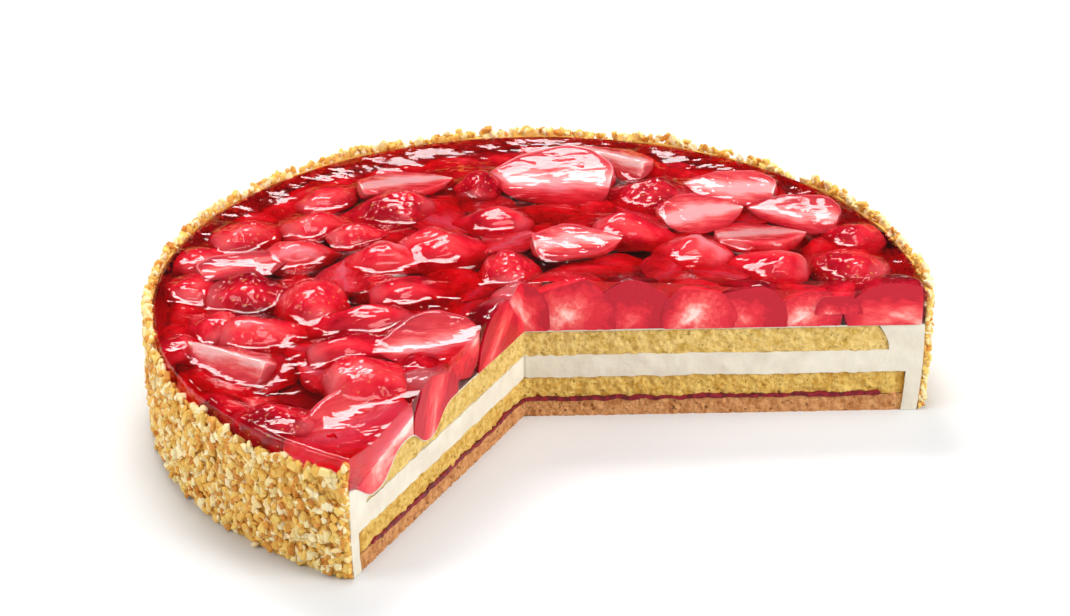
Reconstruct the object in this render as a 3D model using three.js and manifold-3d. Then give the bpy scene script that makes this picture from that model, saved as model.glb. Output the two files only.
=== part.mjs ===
import * as THREE from 'three';
import { mergeVertices } from 'three/addons/utils/BufferGeometryUtils.js';
import Module from 'manifold-3d';

const wasm = await Module();
wasm.setup();

// Strawberry tart with a missing wedge: millimetres, +Z up
// The origin is the centre of the round, on the underside of the shortcrust

// Driving dimensions
const sideRadius = 126.4;        // cream and jelly, under the chopped nuts
const sideDrawIn = 1.6;          // the side is this much smaller at the floor
const widestLevel = 26;          // height where the side is widest
const nutSkin = 1.2;             // thickness between the standing chips
const nutRelief = 2.4;           // how far the chips stand out
const gap = 0.3;                 // free space between neighbouring pieces
const floorGap = 0.15;           // the shortcrust stands lowest

const baseTop = 5.9;             // shortcrust
const baseRadius = 121.5;
const jamTop = 7.9;
const jamRadius = 112;
const lowerSpongeTop = 14.4;
const lowerSpongeRadius = 120.8;
const fillingTop = 22.3;         // cream between the two sponges
const upperSpongeTop = 30.6;
const upperSpongeRadius = 115;
const capTop = 31.9;             // thin cream on the upper sponge

const berryTopAtCentre = 50.4;   // tops of the strawberries
const berryFall = 7.6;           // how much lower they lie near the rim
const fallRadius = 115;
const fallPower = 1.6;
const jellyDepth = 4.6;          // jelly level under the tops of the berries
const rimRise = 5.4;             // jelly climbs at the rim, where the ring held it
const rimRiseStart = 104;
const jellyWave = 0.7;

// The missing wedge: where its two cuts meet, and their directions in degrees
const wedgeTip = { x: -5.3, y: -6.5 };
const leftCut = -116.2;
const rightCut = 2.25;

const roundSectors = 48;         // sides of the round layers
const nutSectors = 178;          // one column of chips about every 4.5 mm
const nutRows = 9;
const chipCount = 40;            // chips that stand out of the coat
const berrySides = 8;
const berryRings = 3;

const radians = THREE.MathUtils.degToRad;

// Repeatable random numbers
function makeRandom(seed) {
  let state = seed;
  return () => {
    state = (state + 0x6d2b79f5) | 0;
    let value = Math.imul(state ^ (state >>> 15), 1 | state);
    value = (value + Math.imul(value ^ (value >>> 7), 61 | value)) ^ value;
    return ((value ^ (value >>> 14)) >>> 0) / 4294967296;
  };
}

// Closed geometry to a solid that can be cut
function toSolid(geometry) {
  geometry.deleteAttribute('normal');
  geometry.deleteAttribute('uv');
  const merged = mergeVertices(geometry, 1e-3);
  const positions = merged.attributes.position;
  const corner = (index) => new THREE.Vector3().fromBufferAttribute(positions, index);
  const triangles = [];
  let volume = 0;
  for (let i = 0; i < merged.index.count; i += 3) {
    const [a, b, c] = [0, 1, 2].map((step) => merged.index.getX(i + step));
    if (a === b || b === c || c === a) continue;
    triangles.push([a, b, c]);
    volume += corner(a).dot(corner(b).cross(corner(c)));
  }
  const outward = volume < 0 ? triangles.map(([a, b, c]) => [a, c, b]) : triangles;
  return new wasm.Manifold(new wasm.Mesh({
    numProp: 3,
    vertProperties: new Float32Array(positions.array),
    triVerts: new Uint32Array(outward.flat()),
  }));
}

// The largest single body of a solid that a cut has left in several
function largestBody(solid) {
  const bodies = solid.decompose();
  return bodies.reduce((best, body) => (body.volume() > best.volume() ? body : best));
}

// A solid back to a named mesh
function toMesh(name, solid, look) {
  const { vertProperties, triVerts } = largestBody(solid).getMesh();
  const geometry = new THREE.BufferGeometry();
  geometry.setAttribute('position', new THREE.BufferAttribute(new Float32Array(vertProperties), 3));
  geometry.setIndex(new THREE.BufferAttribute(new Uint32Array(triVerts), 1));
  geometry.computeVertexNormals();
  const mesh = new THREE.Mesh(geometry, new THREE.MeshStandardMaterial(look));
  mesh.name = name;
  return mesh;
}

// Geometry of revolution about +Z from pairs of radius and height
function turned(profile, sectors) {
  const points = profile.map(([radius, height]) => new THREE.Vector2(radius, height));
  return new THREE.LatheGeometry(points, sectors).rotateX(Math.PI / 2);
}

// The wedge that was cut out, as a tall prism
function missingWedge() {
  const reach = 300;
  const below = 20;
  const corner = (degrees, distance) => new THREE.Vector2(
    wedgeTip.x + distance * Math.cos(radians(degrees)),
    wedgeTip.y + distance * Math.sin(radians(degrees)),
  );
  const outline = new THREE.Shape([
    new THREE.Vector2(wedgeTip.x, wedgeTip.y),
    corner(leftCut, reach),
    corner((leftCut + rightCut) / 2, 2 * reach),
    corner(rightCut, reach),
  ]);
  const prism = new THREE.ExtrudeGeometry(outline, { depth: 120, bevelEnabled: false });
  return toSolid(prism.translate(0, 0, -below));
}

const wedge = missingWedge();

// Radius of the cream side at a height
function sideAt(height) {
  const low = Math.max(0, (widestLevel - height) / widestLevel);
  return sideRadius - sideDrawIn * low * low;
}

// Height of the strawberries' tops at a distance from the centre
function berryTopAt(radius) {
  return berryTopAtCentre - berryFall * (radius / fallRadius) ** fallPower;
}

// Height of the jelly between the strawberries
function jellyTopAt(x, y) {
  const radius = Math.hypot(x, y);
  const rim = THREE.MathUtils.smoothstep(radius, rimRiseStart, sideRadius);
  const wave = Math.sin(x / 9 + y / 23) * Math.cos(y / 10 - x / 31);
  return berryTopAt(radius) - jellyDepth + rimRise * rim * rim + jellyWave * wave * (1 - rim);
}

// Round layers

function shortcrustBase() {
  return turned([[0, 0], [baseRadius - 1, 0], [baseRadius, 1], [baseRadius, baseTop - 0.6],
    [baseRadius - 0.8, baseTop], [0, baseTop]], roundSectors);
}

function jamLayer() {
  const bottom = baseTop + gap;
  return turned([[0, bottom], [jamRadius, bottom], [jamRadius - 0.8, jamTop], [0, jamTop]], roundSectors);
}

function lowerSponge() {
  const bottom = baseTop + gap;
  const jamCover = jamTop + gap;
  return turned([[0, jamCover], [jamRadius + gap, jamCover], [jamRadius + 2 * gap, bottom],
    [lowerSpongeRadius - 0.5, bottom], [lowerSpongeRadius, bottom + 2],
    [lowerSpongeRadius - 0.7, lowerSpongeTop], [0, lowerSpongeTop]], roundSectors);
}

function upperSponge() {
  const bottom = fillingTop + gap;
  return turned([[0, bottom], [upperSpongeRadius - 0.6, bottom], [upperSpongeRadius, bottom + 2],
    [upperSpongeRadius - 2.2, upperSpongeTop - 1.6], [upperSpongeRadius - 4.5, upperSpongeTop],
    [0, upperSpongeTop]], roundSectors);
}

// The filling between the sponges, the coat round the side and the thin cap are one mass of cream
function creamMass() {
  const steps = [floorGap, 6, 15, widestLevel];
  const outer = steps.map((height) => [sideAt(height), height]);
  return turned([
    [0, lowerSpongeTop + gap],
    [lowerSpongeRadius - 0.7 + gap, lowerSpongeTop + gap],
    [lowerSpongeRadius + gap, baseTop + gap + 2],
    [lowerSpongeRadius + gap, baseTop],
    [baseRadius + gap, baseTop - 0.6],
    [baseRadius + gap, floorGap],
    ...outer,
    [sideRadius, capTop],
    [0, capTop],
    [0, upperSpongeTop + gap],
    [upperSpongeRadius - 4.3, upperSpongeTop + gap],
    [upperSpongeRadius - 1.9, upperSpongeTop - 1.4],
    [upperSpongeRadius + gap, fillingTop + gap + 2],
    [upperSpongeRadius - 0.4, fillingTop],
    [0, fillingTop],
  ], roundSectors);
}

// Jelly slab with a gently waved top and a raised rim
function jellySlab() {
  const bottom = capTop + gap;
  const level = 40;
  const rings = [125.2, 121, 112, 80, 42];
  const slab = turned([[0, bottom], [sideRadius - 0.4, bottom], [sideRadius, 37],
    ...rings.map((radius) => [radius, level]), [0, level]], roundSectors);
  const positions = slab.attributes.position;
  for (let i = 0; i < positions.count; i += 1) {
    const [x, y, z] = [positions.getX(i), positions.getY(i), positions.getZ(i)];
    if (z >= level) positions.setZ(i, jellyTopAt(x, y));
  }
  return slab;
}

// Strawberries

// at: centre seen from above, size: length and width, heading: where the tip points, in degrees
// roll turns the piece about its length: a half lies cut face up at 0 and cut face down at 180
// pitch lowers the tip, lift raises the top over the even dome, sunk pieces press into the sponge
const strawberries = [
  { at: [-57, -91], size: [52, 40], heading: 214, form: 'half', roll: -22, lift: 0.6, sunk: true },
  { at: [-51, -61], size: [35, 32], heading: 15, form: 'half', roll: 170, lift: 1.6 },
  { at: [-33, -63], size: [34, 30], heading: -116, form: 'whole', pitch: 70, lift: -1.2, sunk: true },
  { at: [-35, -41], size: [36, 28], heading: 192, form: 'half', roll: -20, lift: 1.4 },
  { at: [-14, -25], size: [32, 23], heading: -112, form: 'whole', pitch: 35, lift: 0 },
  { at: [-5, -8], size: [29, 20], heading: 60, form: 'whole', pitch: 50, lift: 0.4 },
  { at: [9, -3], size: [34, 31], heading: 95, form: 'whole', pitch: 10, lift: -0.2 },
  { at: [31, -4], size: [32, 30], heading: 80, form: 'whole', pitch: 15, lift: 0.6 },
  { at: [51, -5], size: [30, 24], heading: 110, form: 'whole', pitch: 0, lift: -0.9 },
  { at: [68, -1], size: [34, 29], heading: 75, form: 'whole', pitch: 20, lift: -0.2 },
  { at: [86, -3], size: [29, 22], heading: 130, form: 'whole', pitch: 0, lift: -0.4 },
  { at: [99, 3], size: [22, 18], heading: 60, form: 'half', roll: 180, lift: -0.4 },
  { at: [113, 0], size: [34, 28], heading: 170, form: 'whole', pitch: -8, lift: 4.2 },
  { at: [-96, -54], size: [38, 33], heading: 150, form: 'wedge', roll: 26, lift: 1.8 },
  { at: [-83, -84], size: [34, 25], heading: 160, form: 'half', roll: 186, lift: 1.2 },
  { at: [-99, -74], size: [29, 18], heading: 140, form: 'half', roll: 180, lift: -1 },
  { at: [-87, -27], size: [35, 24], heading: 5, form: 'half', roll: 176, lift: 1.4 },
  { at: [-105, -20], size: [26, 20], heading: 120, form: 'half', roll: 180, lift: 1.2 },
  { at: [-115, -33], size: [24, 17], heading: 105, form: 'half', roll: 180, lift: 0.6 },
  { at: [-59, -23], size: [43, 26], heading: 176, form: 'half', roll: 168, lift: 1 },
  { at: [-57, -41], size: [36, 19], heading: 10, form: 'half', roll: 185, lift: 0.2 },
  { at: [-74, -6], size: [32, 25], heading: 105, form: 'whole', pitch: -12, lift: 1.8 },
  { at: [-93, 1], size: [35, 28], heading: 8, form: 'half', roll: 186, lift: 2 },
  { at: [-114, 9], size: [26, 22], heading: 80, form: 'half', roll: 180, lift: 0.6 },
  { at: [-98, 19], size: [34, 18], heading: 22, form: 'slice', roll: 8, lift: 0 },
  { at: [-112, 30], size: [28, 20], heading: 62, form: 'half', roll: 180, lift: 0.6 },
  { at: [-98, 47], size: [31, 23], heading: 35, form: 'half', roll: 178, lift: 1.6 },
  { at: [-79, 30], size: [31, 22], heading: 15, form: 'half', roll: 184, lift: 0.8 },
  { at: [-75, 54], size: [30, 22], heading: 30, form: 'half', roll: 180, lift: 0.6 },
  { at: [-53, 62], size: [38, 30], heading: 185, form: 'half', roll: 178, lift: 2.4 },
  { at: [-60, 41], size: [24, 17], heading: 20, form: 'half', roll: 180, lift: 1 },
  { at: [-53, 22], size: [31, 24], heading: 185, form: 'half', roll: 184, lift: 1.2 },
  { at: [-30, 28], size: [39, 30], heading: -12, form: 'half', roll: 172, lift: 1.6 },
  { at: [-40, -3], size: [34, 24], heading: 10, form: 'half', roll: 180, lift: -0.8 },
  { at: [-10, 12], size: [26, 20], heading: 95, form: 'whole', pitch: -10, lift: 1.6 },
  { at: [-47, 83], size: [34, 23], heading: 12, form: 'slice', roll: -6, lift: 0.4 },
  { at: [-72, 79], size: [31, 20], heading: 42, form: 'half', roll: 180, lift: -0.4 },
  { at: [-21, 84], size: [22, 17], heading: 80, form: 'whole', pitch: -12, lift: 1.2 },
  { at: [4, 87], size: [46, 38], heading: 172, form: 'half', roll: -14, lift: 2.4 },
  { at: [24, 103], size: [32, 25], heading: 150, form: 'wedge', roll: 14, lift: 1.8 },
  { at: [36, 77], size: [34, 29], heading: 165, form: 'whole', pitch: -6, lift: 1.8 },
  { at: [66, 82], size: [34, 23], heading: 168, form: 'slice', roll: -8, lift: 0.6 },
  { at: [55, 58], size: [31, 23], heading: 20, form: 'half', roll: 12, lift: 0.2 },
  { at: [33, 43], size: [34, 24], heading: -15, form: 'half', roll: 178, lift: 1 },
  { at: [-17, 50], size: [32, 23], heading: 165, form: 'half', roll: 180, lift: 0.4 },
  { at: [12, 26], size: [31, 22], heading: 8, form: 'half', roll: 6, lift: 0.4 },
  { at: [50, 29], size: [32, 26], heading: 150, form: 'half', roll: 180, lift: 0 },
  { at: [74, 42], size: [32, 25], heading: 5, form: 'half', roll: -12, lift: 0.6 },
  { at: [87, 63], size: [34, 22], heading: 162, form: 'half', roll: -16, lift: 1 },
  { at: [75, 20], size: [34, 25], heading: 172, form: 'half', roll: 178, lift: 1.2 },
  { at: [101, 24], size: [35, 27], heading: 158, form: 'half', roll: 180, lift: 1.8 },
  { at: [106, 49], size: [29, 19], heading: 150, form: 'half', roll: 180, lift: 0.8 },
];

// Outline of a strawberry from its cap end to its tip, turned about its length
function berryProfile(length, width) {
  const fullness = 0.72;
  const bluntness = 0.75;
  const profile = [];
  for (let i = 0; i <= berryRings; i += 1) {
    const along = i / berryRings;
    const swell = Math.sin(Math.PI * along ** fullness) ** bluntness;
    const onAxis = i === 0 || i === berryRings;
    profile.push([onAxis ? 0 : (width / 2) * swell, length * (along - 0.5)]);
  }
  return profile;
}

// The side of a strawberry that a lengthwise cut keeps, below the level of the cut
function belowCut(level) {
  const block = new THREE.BoxGeometry(120, 120, 60);
  return toSolid(block.translate(0, 0, level - 30));
}

// One strawberry piece in its place, made larger all round by grow
function strawberry({ at, size, heading, form, roll = 0, pitch = 0, lift }, grow) {
  const [length, width] = size;
  const profile = berryProfile(length + 2 * grow, width + 2 * grow);
  let piece = toSolid(turned(profile, berrySides).rotateY(Math.PI / 2));
  const sliceThickness = 0.34 * width;
  if (form !== 'whole') piece = piece.intersect(belowCut(grow));
  if (form === 'slice') piece = piece.subtract(belowCut(-sliceThickness - grow));
  if (form === 'wedge') piece = piece.intersect(belowCut(grow).rotate([-70, 0, 0]));
  const placed = piece.rotate([roll, pitch, heading]);
  const bounds = placed.boundingBox();
  const top = berryTopAt(Math.hypot(...at)) + lift + grow;
  return placed.translate([at[0], at[1], top - bounds.max[2]]);
}

// The space that holds the strawberries, inside the rim and over a floor level
function berrySpace(floor) {
  const rim = sideRadius - 1;
  return toSolid(turned([[0, floor], [rim, floor], [rim, 70], [0, 70]], roundSectors)).subtract(wedge);
}

// Every piece gives way to those listed before it
function fitStrawberries() {
  const onCream = berrySpace(capTop + gap);
  const inSponge = berrySpace(fillingTop + gap + 0.5);
  const fitted = [];
  const spaces = [];
  for (const spec of strawberries) {
    let piece = strawberry(spec, 0).intersect(spec.sunk ? inSponge : onCream);
    for (const space of spaces) piece = piece.subtract(space);
    fitted.push(largestBody(piece));
    spaces.push(strawberry(spec, gap));
  }
  return { fitted, spaces };
}

// Chopped nuts pressed into the cream round the side

// Height of the ragged upper edge: lower at the front left, where the jelly's side shows
function nutTopAt(angle) {
  const degrees = (THREE.MathUtils.radToDeg(angle) + 360) % 360;
  const frontDip = 6 * Math.exp(-(((degrees - 233) / 17) ** 2));
  return 42.4 - frontDip + 0.9 * Math.sin(angle * 17) * Math.sin(angle * 5 + 1);
}

function nutRing(random) {
  const profileTop = 42;
  const profile = [];
  for (let row = 0; row <= nutRows; row += 1) {
    const height = (profileTop * row) / nutRows;
    profile.push([sideAt(height) + nutSkin, height]);
  }
  for (const height of [profileTop, 16, 0]) {
    profile.push([sideAt(height) + gap, height]);
  }
  profile.push(profile[0]);
  const ring = turned(profile, nutSectors);
  ring.deleteAttribute('normal');
  ring.deleteAttribute('uv');
  const merged = mergeVertices(ring, 1e-3);
  const positions = merged.attributes.position;
  for (let i = 0; i < positions.count; i += 1) {
    const point = new THREE.Vector3().fromBufferAttribute(positions, i);
    const angle = Math.atan2(point.y, point.x);
    const radius = Math.hypot(point.x, point.y);
    const outside = radius > sideAt(point.z) + (gap + nutSkin) / 2;
    const share = point.z / profileTop;
    const ragged = share > 0.99 ? 2.2 * (random() - 0.4) : 0.9 * (random() - 0.5);
    const stand = outside ? nutRelief * (random() < 0.5 ? 1 : 0.25 * random()) : 0;
    const turn = outside ? ((random() - 0.5) * 2) / radius : 0;
    const height = share < 0.01 ? floorGap : share * nutTopAt(angle) + ragged;
    const reach = radius + stand * (share < 0.01 ? 0.4 : 1);
    positions.setXYZ(i, reach * Math.cos(angle + turn), reach * Math.sin(angle + turn), height);
  }
  return toSolid(merged);
}

// One chopped nut chip: a small uneven block
function nutChip(random, length) {
  const chip = new THREE.BoxGeometry(length, length * 0.62, length * 0.5);
  const merged = mergeVertices(chip.deleteAttribute('normal').deleteAttribute('uv'), 1e-3);
  const positions = merged.attributes.position;
  for (let i = 0; i < positions.count; i += 1) {
    const shrink = 0.6 + 0.4 * random();
    positions.setXYZ(i, positions.getX(i) * shrink, positions.getY(i) * shrink, positions.getZ(i) * shrink);
  }
  return toSolid(merged);
}

function nutCoat() {
  const random = makeRandom(7);
  const outline = [-1, 4, 9, 15, 22, widestLevel].map((height) => [sideAt(Math.max(0, height)), height]);
  const clear = outline.map(([radius, height]) => [radius + 1.2 * gap, height]);
  const body = turned([[0, -1], ...clear, [sideRadius + 1.2 * gap, 60], [0, 60]], nutSectors);
  const tartBody = toSolid(body);
  let coat = nutRing(random);
  const firstAngle = rightCut + 2;
  const lastAngle = leftCut + 360 - 2;
  for (let i = 0; i < chipCount; i += 1) {
    const angle = radians(firstAngle + ((lastAngle - firstAngle) * (i + random())) / chipCount);
    const onEdge = i % 2 === 0;
    const edge = nutTopAt(angle);
    const height = onEdge ? edge + 1.2 * random() : 3 + (edge - 6) * random();
    const reach = sideAt(height) + (onEdge ? 1.7 : 2.1);
    const chip = nutChip(random, 3 + 1.6 * random())
      .rotate([360 * random(), 360 * random(), 360 * random()])
      .translate([reach * Math.cos(angle), reach * Math.sin(angle), height]);
    coat = coat.add(chip.subtract(tartBody));
  }
  return coat.subtract(wedge);
}

// Assembly

const looks = {
  crust: { color: 0xc8995a, roughness: 0.9, metalness: 0 },
  jam: { color: 0x5e0f1c, roughness: 0.3, metalness: 0 },
  sponge: { color: 0xe0cb80, roughness: 0.95, metalness: 0 },
  cream: { color: 0xf0eee4, roughness: 0.55, metalness: 0 },
  jelly: { color: 0xa01428, roughness: 0.08, metalness: 0 },
  nuts: { color: 0xe0b45c, roughness: 0.8, metalness: 0 },
  strawberry: { color: 0xd32632, roughness: 0.25, metalness: 0 },
};

const tart = new THREE.Group();
const { fitted, spaces } = fitStrawberries();
const sunkSpaces = spaces.filter((_, index) => strawberries[index].sunk);
const cutRound = (solid, hollows) => hollows.reduce((left, hollow) => left.subtract(hollow), solid);
const layer = (geometry) => toSolid(geometry).subtract(wedge);

tart.add(toMesh('shortcrust_base', layer(shortcrustBase()), looks.crust));
tart.add(toMesh('jam_layer', layer(jamLayer()), looks.jam));
tart.add(toMesh('sponge_lower', layer(lowerSponge()), looks.sponge));
tart.add(toMesh('sponge_upper', cutRound(layer(upperSponge()), sunkSpaces), looks.sponge));
tart.add(toMesh('cream', cutRound(layer(creamMass()), sunkSpaces), looks.cream));
tart.add(toMesh('jelly', cutRound(layer(jellySlab()), spaces), looks.jelly));
tart.add(toMesh('nut_coat', nutCoat(), looks.nuts));
fitted.forEach((piece, index) => {
  const number = String(index + 1).padStart(2, '0');
  tart.add(toMesh(`strawberry_${number}`, piece, looks.strawberry));
});

export default tart;
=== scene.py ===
import math
import random
from math import cos, exp, hypot, pi, radians, sin, sqrt

import bpy
import numpy as np
from mathutils import Matrix, Vector, noise
from mathutils.bvhtree import BVHTree


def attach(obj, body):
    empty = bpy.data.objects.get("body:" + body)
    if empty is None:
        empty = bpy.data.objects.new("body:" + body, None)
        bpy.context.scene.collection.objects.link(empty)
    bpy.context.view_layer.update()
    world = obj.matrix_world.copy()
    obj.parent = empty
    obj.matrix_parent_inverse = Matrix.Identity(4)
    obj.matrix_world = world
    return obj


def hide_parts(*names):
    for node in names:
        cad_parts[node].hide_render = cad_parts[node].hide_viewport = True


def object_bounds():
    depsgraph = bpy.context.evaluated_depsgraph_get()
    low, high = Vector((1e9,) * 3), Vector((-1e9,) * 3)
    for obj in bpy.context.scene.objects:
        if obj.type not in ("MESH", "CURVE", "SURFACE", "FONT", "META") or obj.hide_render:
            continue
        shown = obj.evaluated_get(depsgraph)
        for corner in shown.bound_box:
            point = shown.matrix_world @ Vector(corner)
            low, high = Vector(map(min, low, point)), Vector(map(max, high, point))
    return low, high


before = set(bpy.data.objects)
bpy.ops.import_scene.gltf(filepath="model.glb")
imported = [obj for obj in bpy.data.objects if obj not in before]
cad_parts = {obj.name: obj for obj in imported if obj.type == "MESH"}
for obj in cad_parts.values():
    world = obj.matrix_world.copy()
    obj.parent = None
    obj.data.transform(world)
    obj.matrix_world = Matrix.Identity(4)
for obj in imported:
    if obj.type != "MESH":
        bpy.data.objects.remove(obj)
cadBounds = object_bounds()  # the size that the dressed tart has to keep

mm = 0.001


def tell(stage):
    print(stage, flush=True)


# The cuts and levels of the tart
tart = {
    "tip": (-5.3 * mm, -6.5 * mm),     # where the two cuts meet
    "rightCut": radians(2.25),
    "leftCut": radians(-116.2 + 360),
    "side": 126.4 * mm,                # cream and jelly under the nuts
    "drawIn": 1.6 * mm,                # the side is smaller by this at the floor
    "widest": 26 * mm,
    "berryTop": 50.4 * mm,
    "berryFall": 7.6 * mm,
    "fallRadius": 115 * mm,
    "fallPower": 1.6,
    "seat": 31.9 * mm,                 # underside of the fruit
    "pressed": (                       # along the left cut, depth and width
        (66 * mm, 7.2 * mm, 8.5 * mm),
        (101 * mm, 8.4 * mm, 11 * mm),
    ),
}
tipX, tipY = tart["tip"]
jellyLevel = {
    "under": 3.4 * mm,                 # below the tops of the strawberries
    "rimFrom": 104 * mm, "rimRise": 4.2 * mm,
    "wave": 0.6 * mm, "shortWave": 9 * mm, "longWave": 25 * mm,
    "rightRise": 2.8 * mm, "rightReach": 9 * mm,  # it stands higher at the cuts
    "leftRise": 1.2 * mm, "leftReach": 6 * mm,
}
leftCut, rightCut = tart["leftCut"], tart["rightCut"]
sweep = leftCut - rightCut
rightOut = Vector((sin(rightCut), -cos(rightCut), 0))
leftOut = Vector((-sin(leftCut), cos(leftCut), 0))


def sideAt(height):
    low = max(0.0, (tart["widest"] - height) / tart["widest"])
    return tart["side"] - tart["drawIn"] * low * low


def berryTopAt(radius):
    return tart["berryTop"] - tart["berryFall"] * (radius / tart["fallRadius"]) ** tart["fallPower"]


def smoothStep(value, start, end):
    share = min(1.0, max(0.0, (value - start) / (end - start)))
    return share * share * (3 - 2 * share)


def outTo(radius, angle):
    return radius * cos(angle), radius * sin(angle)


def fromTip(x, y):
    return Vector((x - tipX, y - tipY, 0))


def tipTo(distance, angle):
    return tipX + distance * cos(angle), tipY + distance * sin(angle)


def jellyLevelAt(x, y):  # jelly between the strawberries, rising at the rim
    radius = hypot(x, y)
    rim = smoothStep(radius, jellyLevel["rimFrom"], tart["side"])
    short, long = jellyLevel["shortWave"], jellyLevel["longWave"]
    wave = sin(x / short + y / long) * cos(y / short - x / long)
    level = berryTopAt(radius) - jellyLevel["under"] + jellyLevel["rimRise"] * rim * rim
    level += jellyLevel["wave"] * wave * (1 - rim)
    offset = fromTip(x, y)
    nearRight = offset.dot(rightOut) / jellyLevel["rightReach"]
    nearLeft = offset.dot(leftOut) / jellyLevel["leftReach"]
    if x > tipX:
        level += jellyLevel["rightRise"] * exp(-nearRight * nearRight) * (1 - rim)
    elif y < tipY:
        level += jellyLevel["leftRise"] * exp(-nearLeft * nearLeft) * (1 - rim)
    return level


def seatAt(x, y):  # underside of the fruit: two berries at the left cut are pressed into the sponge
    level = tart["seat"]
    for along, depth, width in tart["pressed"]:
        pressedX, pressedY = tipTo(along, leftCut)
        distance = hypot(x - pressedX, y - pressedY) / width
        level -= depth * exp(-distance ** 2.6)
    return level


# Small tools for modelling

def deselectAll():
    if bpy.context.object and bpy.context.object.mode != "OBJECT":
        bpy.ops.object.mode_set(mode="OBJECT")
    bpy.ops.object.select_all(action="DESELECT")


def makeActive(piece):
    deselectAll()
    piece.select_set(True)
    bpy.context.view_layer.objects.active = piece


def editAll(piece):
    makeActive(piece)
    bpy.ops.object.mode_set(mode="EDIT")
    bpy.ops.mesh.select_all(action="SELECT")


def endEdit():
    bpy.ops.object.mode_set(mode="OBJECT")


def faceOutward(piece):
    editAll(piece)
    bpy.ops.mesh.normals_make_consistent(inside=False)
    endEdit()


def deleteFaces(piece, chosen):  # leaves the piece in edit mode
    bpy.context.tool_settings.mesh_select_mode = (False, False, True)
    for part in (*piece.data.vertices, *piece.data.edges):
        part.select = False
    for face in piece.data.polygons:
        face.select = chosen(face)
    bpy.ops.object.mode_set(mode="EDIT")
    bpy.ops.mesh.delete(type="FACE")
    bpy.context.tool_settings.mesh_select_mode = (True, False, False)


def addToScene(thing):
    bpy.context.scene.collection.objects.link(thing)


def storeValues(mesh, name, values):  # a number for each point, which the finishes read
    layer = mesh.attributes.new(name, "FLOAT", "POINT")
    layer.data.foreach_set("value", np.asarray(values, np.float32))


def readPoints(piece):
    flat = np.empty(len(piece.data.vertices) * 3, np.float32)
    piece.data.vertices.foreach_get("co", flat)
    return flat.reshape(-1, 3).astype(float)


def writePoints(piece, points):
    piece.data.vertices.foreach_set("co", np.ascontiguousarray(points, np.float32).ravel())
    piece.data.update()


def seatOnTart(piece, slotName, *nodes):
    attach(piece, "root")
    if nodes:
        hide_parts(*nodes)


# Small tools for finishes

black, white = (0, 0, 0), (1, 1, 1)


def startFinish(name, roughness, specular=0.5):
    finish = bpy.data.materials.new(name)
    finish.use_nodes = True
    shader = finish.node_tree.nodes["Principled BSDF"]
    shader.inputs["Roughness"].default_value = roughness
    shader.inputs["Specular IOR Level"].default_value = specular
    return finish, finish.node_tree, shader


def addNode(tree, kind, links=None, **values):
    made = tree.nodes.new("ShaderNode" + kind)
    for socket, value in values.items():
        made.inputs[socket.replace("_", " ")].default_value = value
    for socket, source in (links or {}).items():
        tree.links.new(source, made.inputs[socket])
    return made


def objectPlace(tree):
    return addNode(tree, "TexCoord").outputs["Object"]


def grain(tree, place, scale, detail=3.0, roughness=0.55):
    found = addNode(tree, "TexNoise", {"Vector": place}, Scale=scale, Detail=detail, Roughness=roughness)
    return found.outputs["Fac"]


def cells(tree, place, scale):
    return addNode(tree, "TexVoronoi", {"Vector": place}, Scale=scale).outputs["Distance"]


def ramp(tree, source, *stops):
    found = addNode(tree, "ValToRGB", {"Fac": source})
    elements = found.color_ramp.elements
    while len(elements) < len(stops):
        elements.new(0.5)
    for element, (place, tint) in zip(elements, stops):
        element.position = place
        element.color = (*colour(tint), 1)
    return found.outputs["Color"]


def blendColours(tree, share, first, second):  # from a source towards a screen colour
    found = tree.nodes.new("ShaderNodeMix")
    found.data_type = "RGBA"
    factor, base, other = [socket for socket in found.inputs if socket.enabled]
    tree.links.new(share, factor)
    tree.links.new(first, base)
    other.default_value = (*colour(second), 1)
    return [socket for socket in found.outputs if socket.enabled][0]


def reckon(tree, way, first, second=0.0):
    found = tree.nodes.new("ShaderNodeMath")
    found.operation = way
    for index, value in enumerate((first, second)):
        if isinstance(value, (int, float)):
            found.inputs[index].default_value = value
        else:
            tree.links.new(value, found.inputs[index])
    return found.outputs[0]


def plus(tree, first, second):
    return reckon(tree, "ADD", first, second)


def minus(tree, first, second):
    return reckon(tree, "SUBTRACT", first, second)


def times(tree, first, second):
    return reckon(tree, "MULTIPLY", first, second)


def power(tree, first, second):
    return reckon(tree, "POWER", first, second)


def lengthOf(tree, first, second):
    return reckon(tree, "SQRT", plus(tree, power(tree, first, 2.0), power(tree, second, 2.0)))


def between(tree, source, start, end, first=0.0, last=1.0):
    found = addNode(tree, "MapRange", {"Value": source}, From_Min=start, From_Max=end,
                    To_Min=first, To_Max=last)
    return found.outputs["Result"]


def stretch(tree, place, scale):
    return addNode(tree, "Mapping", {"Vector": place}, Scale=scale).outputs["Vector"]


def paint(tree, shader, tint):
    tree.links.new(tint, shader.inputs["Base Color"])


def letLightIn(shader, weight, radius):
    shader.inputs["Subsurface Weight"].default_value = weight
    shader.inputs["Subsurface Radius"].default_value = radius
    shader.inputs["Subsurface Scale"].default_value = 1.0


def bump(tree, shader, height, distance, strength=1.0):
    found = addNode(tree, "Bump", {"Height": height}, Strength=strength, Distance=distance)
    tree.links.new(found.outputs["Normal"], shader.inputs["Normal"])


def colour(code):  # from a screen colour such as "d81f2e" to the values that a shader takes
    if isinstance(code, tuple):
        return code
    parts = [int(code[i:i + 2], 16) / 255 for i in (0, 2, 4)]
    return tuple(p / 12.92 if p <= 0.04045 else ((p + 0.055) / 1.055) ** 2.4 for p in parts)


# Camera and light

view = {
    "place": (0, -1.0773, 0.5786),
    "tiltDown": 26.696,
    "turn": 0.082,
    "lens": 123.8,
}


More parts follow.
